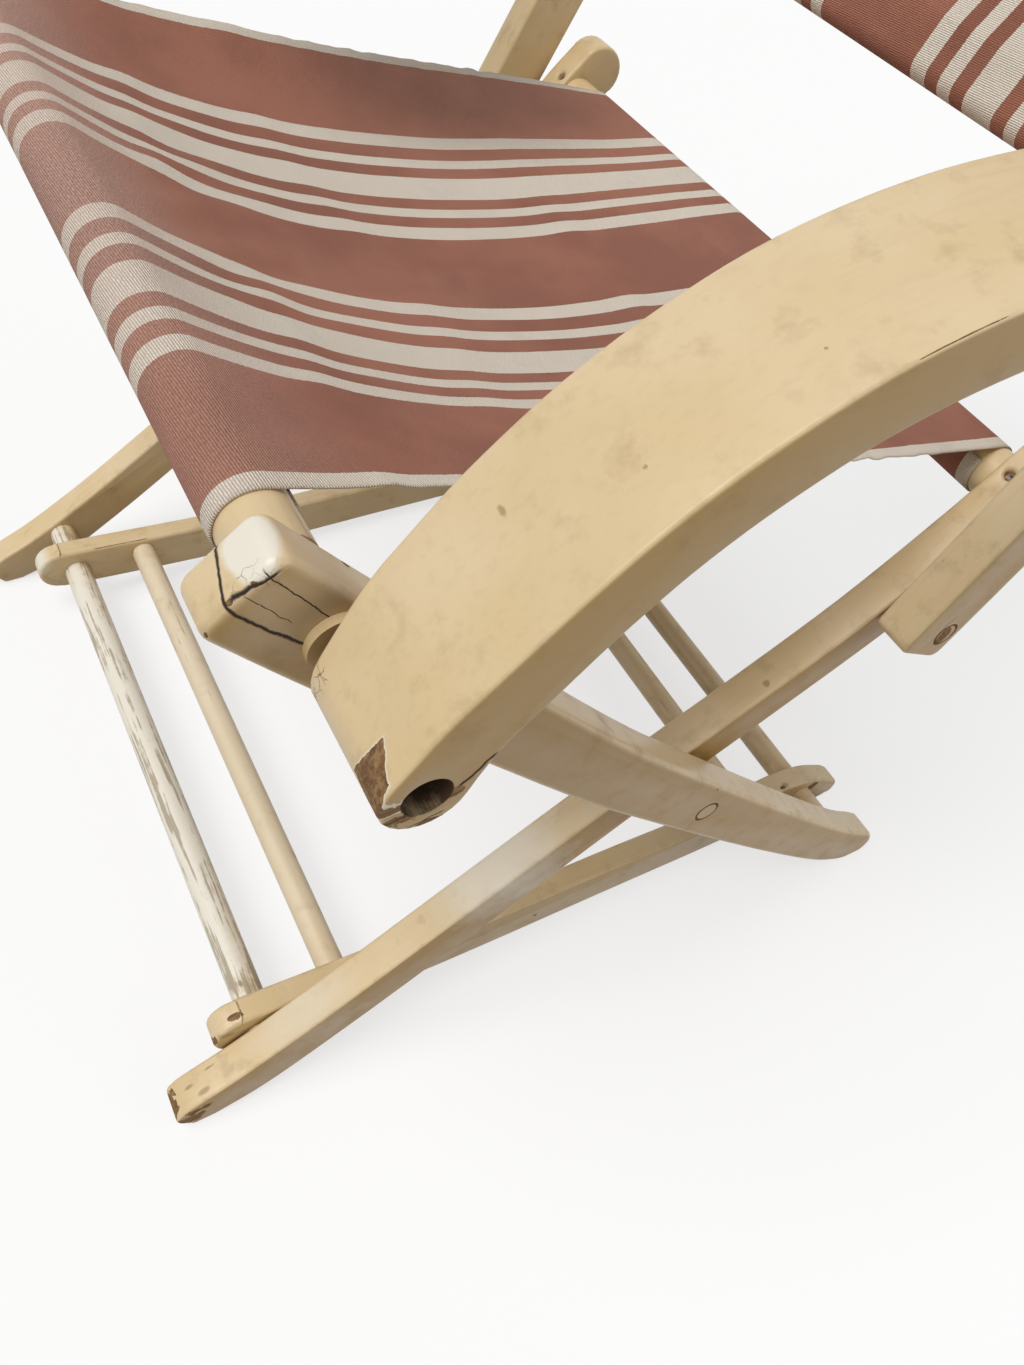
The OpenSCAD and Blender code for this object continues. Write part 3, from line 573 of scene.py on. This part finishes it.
def stripedCanvas(name, broad, width, rubAndSheenAt):  # dyed cotton twill: matt, ribbed, faded and dusty
    material, tree = newMaterial(name)
    uv = addNode(tree, "UVMap", uv_map="cloth")  # metres across and along
    across = addNode(tree, "SeparateXYZ", uv)
    along = addNode(tree, "SeparateXYZ", uv, out=1)
    thread = addNode(tree, "TexNoise", {"Vector": uv, "Scale": 700.0, "Detail": 2})
    wander = addNode(tree, "TexNoise", {"Vector": uv, "Scale": 9.0, "Detail": 2})
    edge = addNode(tree, "Math", thread, 0.0012, across, operation="MULTIPLY_ADD")
    edge = addNode(tree, "Math", wander, 0.0040, edge, operation="MULTIPLY_ADD")
    edge = addNode(tree, "Math", edge, 0.0026, operation="SUBTRACT")
    share = addNode(tree, "Math", edge, width, operation="DIVIDE")
    stripes = tree.nodes.new("ShaderNodeValToRGB")
    tree.links.new(share, stripes.inputs[0])
    stops = stripes.color_ramp
    stops.interpolation = "CONSTANT"
    start = 0.0
    for i, (end, white) in enumerate(stripeBands(broad)):
        stop = stops.elements[i] if i < 2 else stops.elements.new(start)
        stop.position = start
        stop.color = (1, 1, 1, 1) if white else (0, 0, 0, 1)
        start = end
    deep = addNode(tree, "TexNoise", {"Vector": uv, "Scale": 7.0, "Detail": 4, "Roughness": 0.6})
    deep = addNode(tree, "MapRange", deep, 0.38, 0.62, 0.0, 0.9, interpolation_type="SMOOTHSTEP")
    brown = addNode(tree, "Mix", {0: deep, 6: hexColour(canvas["brown"]), 7: hexColour(canvas["brownDeep"])},
                    out=2, data_type="RGBA")
    colour = addNode(tree, "Mix", {0: stripes.outputs[0], 6: brown, 7: hexColour(canvas["white"])},
                     out=2, data_type="RGBA")
    # painted shade on the far side of the hollow, which is also where the dye is least faded
    deeper = addNode(tree, "VectorMath", uv, (0.43, 0.40, 0), operation="SUBTRACT")
    deeper = addNode(tree, "VectorMath", deeper, (1 / 0.11, 1 / 0.20, 0), operation="MULTIPLY")
    deeper = addNode(tree, "VectorMath", deeper, out=1, operation="LENGTH")
    deeper = addNode(tree, "MapRange", deeper, 0.2, 1.0, 0.55, 0.0, interpolation_type="SMOOTHSTEP")
    colour = addNode(tree, "Mix", {0: deeper, 6: colour, 7: hexColour(canvas["brownDark"])},
                     out=2, data_type="RGBA")
    # pale where it is rubbed over the front rail, with the grain of single threads; partly a painted sheen
    # where the cloth turns over the rail
    rubbed = addNode(tree, "Math", along, rubAndSheenAt, operation="SUBTRACT")
    rubbed = addNode(tree, "Math", rubbed, operation="ABSOLUTE")
    rubbed = addNode(tree, "MapRange", rubbed, 0.004, 0.070, 0.58, 0.03, interpolation_type="SMOOTHSTEP")
    grainy = addNode(tree, "MapRange", thread, 0.35, 0.7, 0.4, 1.3)
    rubbed = addNode(tree, "Math", rubbed, grainy, operation="MULTIPLY")
    rubbed = addNode(tree, "Math", rubbed, addNode(tree, "MapRange", across, 0.05, 0.20, 0.45, 1.0),
                     operation="MULTIPLY")
    colour = addNode(tree, "Mix", {0: rubbed, 6: colour, 7: hexColour(canvas["rubAndSheen"])},
                     out=2, data_type="RGBA")
    grey = addNode(tree, "TexNoise", {"Vector": uv, "Scale": 16.0, "Detail": 5, "Roughness": 0.65})
    grey = addNode(tree, "MapRange", grey, 0.5, 0.8, 0.0, 0.12)
    colour = addNode(tree, "Mix", {0: grey, 6: colour, 7: hexColour(canvas["dust"])}, out=2, data_type="RGBA")
    # ribs run across the cloth, a little aslant; the fine dark line between them breaks up
    ribPlace = addNode(tree, "Mapping", {"Vector": uv, "Rotation": (0, 0, radians(-85))})
    ribs = addNode(tree, "TexWave", {"Vector": ribPlace, "Scale": 0.314 / canvas["ribSpacing"],
                                     "Distortion": 1.6, "Detail": 1.0, "Detail Scale": 3.0}, out=1)
    gap = addNode(tree, "MapRange", ribs, 0.0, 0.6, 0.8, 0.0)
    colour = addNode(tree, "Mix", {0: gap, 6: colour, 7: hexColour(canvas["ribShade"])},
                     out=2, data_type="RGBA", blend_type="MULTIPLY")
    height = addNode(tree, "Math", thread, 0.7, ribs, operation="MULTIPLY_ADD")
    crumple = addNode(tree, "TexNoise", {"Vector": uv, "Scale": 20.0, "Detail": 3, "Distortion": 1.2})
    height = addNode(tree, "Math", crumple, 7.0, height, operation="MULTIPLY_ADD")  # soft wrinkles
    bump = addNode(tree, "Bump", {"Strength": 0.8, "Distance": 0.0005, "Height": height})
    shader = addNode(tree, "BsdfPrincipled", {"Base Color": colour, "Roughness": 0.9, "Normal": bump,
                                              "Sheen Weight": 0.04, "Sheen Roughness": 0.5})
    addNode(tree, "OutputMaterial", shader)
    return material


def arc(centre, radius, a0, a1, steps):  # points round a rail, angles in degrees
    return [centre + radius * Vector((cos(radians(a)), sin(radians(a))))
            for a in (a0 + (a1 - a0) * k / steps for k in range(steps + 1))]


def hanging(a, b, a0, a1, steps):  # line from a to b that leaves a0 and arrives a1 degrees off straight
    along = b - a
    down = Vector((along.y, -along.x))
    return [a + along * t + down * t * (1 - t) * ((1 - t) * tan(radians(a0)) + t * tan(radians(a1)))
            for t in (k / steps for k in range(1, steps))]


def bowl(edgeSag, middleSag, u):
    return edgeSag + (middleSag - edgeSag) * (1 - abs(u) ** 2.4)


def clothFrom(name, node, rows, width, material):
    # rows run along the cloth, one for each place across it, as (x, y, z) points
    columns, count = len(rows) - 1, len(rows[0])
    verts, faces, uvs, lengths = [], [], [], []
    for i, row in enumerate(rows):
        run = 0.0
        for k, point in enumerate(row):
            if k:
                run += (Vector(point) - Vector(row[k - 1])).length
            verts.append(point)
            uvs.append((i / columns * width, run))
        lengths.append(run)
    for i in range(columns):
        for k in range(count - 1):
            a = i * count + k
            faces.append((a, a + 1, a + count + 1, a + count))
    mesh = bpy.data.meshes.new(name)
    mesh.from_pydata(verts, [], faces)
    layer = mesh.uv_layers.new(name="cloth")
    for loop in mesh.loops:
        layer.data[loop.index].uv = uvs[loop.vertex_index]
    piece = bpy.data.objects.new(name, mesh)
    bpy.context.scene.collection.objects.link(piece)
    solid = piece.modifiers.new("cloth", "SOLIDIFY")
    solid.thickness = canvas["thickness"]
    solid.offset = 0
    applyModifiers(piece)
    bpy.ops.object.shade_smooth()
    piece.data.materials.append(material)
    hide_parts(node)
    return piece


def railRadius(node):
    low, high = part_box(node)
    return (high[2] - low[2]) / 2 + canvas["railGap"] + canvas["thickness"] / 2


def seatCanvas():
    low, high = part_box("seat_canvas")
    front, rear = centreOf("front_seat_rail"), centreOf("rear_seat_rail")
    frontR, rearR = railRadius("front_seat_rail"), railRadius("rear_seat_rail")
    span = rear - front
    top = 90 + atan2(span.y, span.x) * 180 / pi
    width, skew = canvas["seatWidth"], canvas["seatSkew"]
    columns, steps = 150, 90
    rows = []
    for i in range(columns + 1):
        share = i / columns               # 0 at the sitter's left
        u = 1 - 2 * share
        sag = bowl(canvas["seatEdgeSag"], canvas["seatSag"], u) / span.length
        a0, a1 = atan(5.4 * sag) * 180 / pi, atan(2.1 * sag) * 180 / pi
        frontHem = arc(front, frontR, top + canvas["hemTurn"], top - a0, 40)
        rearHem = arc(rear, rearR, top + a1, top - canvas["hemTurn"], 40)
        line = frontHem + hanging(frontHem[-1], rearHem[0], a0, a1, steps) + rearHem
        row = []
        for k, p in enumerate(line):
            t = min(1, max(0, (p.x - front.x) / span.x))
            x = high[0] - share * (width + 0.008 * t) - skew * t + 0.003 * t
            # creases from folding, drag folds behind the front rail, puckers along the edges
            lift = 0.0012 * exp(-((t - 0.13 - 0.02 * sin(5 * u)) / 0.022) ** 2)
            lift += 0.0010 * exp(-((t - 0.33 - 0.03 * sin(4 * u + 1)) / 0.028) ** 2)
            lift += 0.0016 * exp(-((t - 0.68 + 0.03 * u) / 0.030) ** 2) * exp(-((u - 0.05) / 0.4) ** 2)
            fold = sin((x * 0.8 + (p.x - front.x) * 0.6) * 190)
            lift += 0.0011 * fold * exp(-((t - 0.13) / 0.09) ** 2) * exp(-((u + 0.05) / 0.45) ** 2)
            lift += 0.0014 * noise.noise(Vector((x * 14, p.x * 9, 0.3)))
            rim = exp(-(1 - abs(u)) / 0.03)
            lift += 0.0016 * rim * sin(p.x * 330 + 2 * u) * noise.noise(Vector((p.x * 22, u, 4.0)))
            onSeat = 1 if len(frontHem) <= k < len(line) - len(rearHem) else 0
            row.append((x, p.x, p.y + lift * onSeat * min(1, sin(pi * t) * 3)))
        rows.append(row)
    rubAndSheen = frontR * radians(canvas["hemTurn"] - 20)
    piece = clothFrom("seatCanvas", "seat_canvas", rows, width,
                      stripedCanvas("striped cotton twill, seat", canvas["seatBroad"], width, rubAndSheen))
    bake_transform(piece)
    return piece


def backCanvas():
    low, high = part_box("back_canvas")
    lower, upper = centreOf("lower_back_rail"), centreOf("upper_back_rail")
    rise = (upper - lower).normalized()
    lean = atan2(rise.y, rise.x) * 180 / pi
    front = lean + 90
    reach = canvas["slatReach"]
    lowR = canvas["slatThickness"] / 2 + canvas["railGap"] + canvas["thickness"] / 2
    highR = railRadius("upper_back_rail")
    span = (upper - lower).length - reach
    columns, steps = 120, 60
    width = high[0] - low[0]
    rows = []
    for i in range(columns + 1):
        share = i / columns
        u = 1 - 2 * share
        a = atan(4 * bowl(canvas["backEdgeSag"], canvas["backSag"], u) / span) * 180 / pi
        topEdge, lowEdge = lower + rise * reach, lower - rise * reach
        line = arc(topEdge, lowR, front - 64, front - 180, 12)
        line += arc(lowEdge, lowR, front - 180, front - 360, 20)
        line += arc(topEdge, lowR, front, front - a, 3)
        hem = arc(upper, highR, front + a, front - canvas["hemTurn"], 40)
        line += hanging(line[-1], hem[0], a, a, steps) + hem
        rows.append([(high[0] - share * width, p.x, p.y) for p in line])
    piece = clothFrom("backCanvas", "back_canvas", rows, width,
                      stripedCanvas("striped cotton twill, back", canvas["backBroad"], width, -1.0))
    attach(piece, "back_frame")
    return piece


seatCanvas()
backCanvas()
print("canvas")


# Floor, light and camera

studio = {
    "cameraPlace": (0.5226, -0.3760, 0.7465),
    "cameraTurn": (38.335, -5.562, 61.888),   # degrees
    "lens": 29.01,
    "floorSize": 12,
    "floorSeen": "FBFBFA",
    "floorBounce": "A9A49A",  # what the floor gives back to the chair
    "floorGlow": 0.68,        # how much of the floor's white doesn't take a shadow
    "skyLight": 0.32,
    "overhead": 2.05,         # watts to the square metre, a wide soft source far off
    "overheadWidth": 40,      # degrees
    "overheadFrom": (0.0, -0.42, 0.90),
    "rearSidePlace": (1.9, 1.5, 1.3),
    "rearSideSize": 1.4,
    "rearSidePower": 8,
}


def seenDirectly(tree):  # 1 for camera, glossy and transmission rays
    seen = addNode(tree, "Math", addNode(tree, "LightPath", out=0), addNode(tree, "LightPath", out=3),
                   operation="MAXIMUM")
    return addNode(tree, "Math", seen, addNode(tree, "LightPath", out=6), operation="MAXIMUM")


def studioFloor():
    bpy.ops.object.select_all(action="DESELECT")
    bpy.ops.mesh.primitive_plane_add(size=studio["floorSize"], location=(0, 0, 0))
    floor = bpy.context.object
    floor.name = "studioFloor"
    material, tree = newMaterial("pale matt floor")
    seen = seenDirectly(tree)
    colour = addNode(tree, "Mix", {0: seen, 6: hexColour(studio["floorBounce"]),
                                   7: hexColour(studio["floorSeen"])}, out=2, data_type="RGBA")
    matt = addNode(tree, "BsdfDiffuse", {"Color": colour})
    white = addNode(tree, "Emission", {"Strength": 1.0})
    share = addNode(tree, "Math", seen, studio["floorGlow"], operation="MULTIPLY")
    addNode(tree, "OutputMaterial", addNode(tree, "MixShader", share, matt, white))
    floor.data.materials.append(material)


def studioWorld():
    world = bpy.data.worlds.new("soft studio")
    world.use_nodes = True
    tree = world.node_tree
    tree.nodes.clear()
    strength = addNode(tree, "MapRange", seenDirectly(tree), 0.0, 1.0, studio["skyLight"], 1.0)
    addNode(tree, "OutputWorld", addNode(tree, "Background", (1, 1, 1, 1), strength))
    bpy.context.scene.world = world


def areaLight(name, place, size, power):
    data = bpy.data.lights.new(name, "AREA")
    data.shape = "DISK"
    data.size = size
    data.energy = power
    lamp = bpy.data.objects.new(name, data)
    lamp.location = place
    lamp.rotation_euler = (Vector((0, 0, 0.35)) - Vector(place)).to_track_quat("-Z", "Y").to_euler()
    bpy.context.scene.collection.objects.link(lamp)


def softSun():
    data = bpy.data.lights.new("overheadSoft", "SUN")
    data.energy = studio["overhead"]
    data.angle = radians(studio["overheadWidth"])
    lamp = bpy.data.objects.new("overheadSoft", data)
    lamp.rotation_euler = Vector(studio["overheadFrom"]).to_track_quat("Z", "Y").to_euler()
    bpy.context.scene.collection.objects.link(lamp)


studioFloor()
studioWorld()
softSun()
areaLight("rearSideSoft", studio["rearSidePlace"], studio["rearSideSize"], studio["rearSidePower"])
print("floor and light")

camera = bpy.data.objects.new("camera", bpy.data.cameras.new("camera"))
camera.data.lens = studio["lens"]
camera.data.sensor_width = 36
camera.data.clip_start = 0.01
camera.location = studio["cameraPlace"]
camera.rotation_euler = Euler([radians(a) for a in studio["cameraTurn"]])
bpy.context.scene.collection.objects.link(camera)
bpy.context.scene.camera = camera
bpy.context.scene.view_settings.view_transform = "Standard"
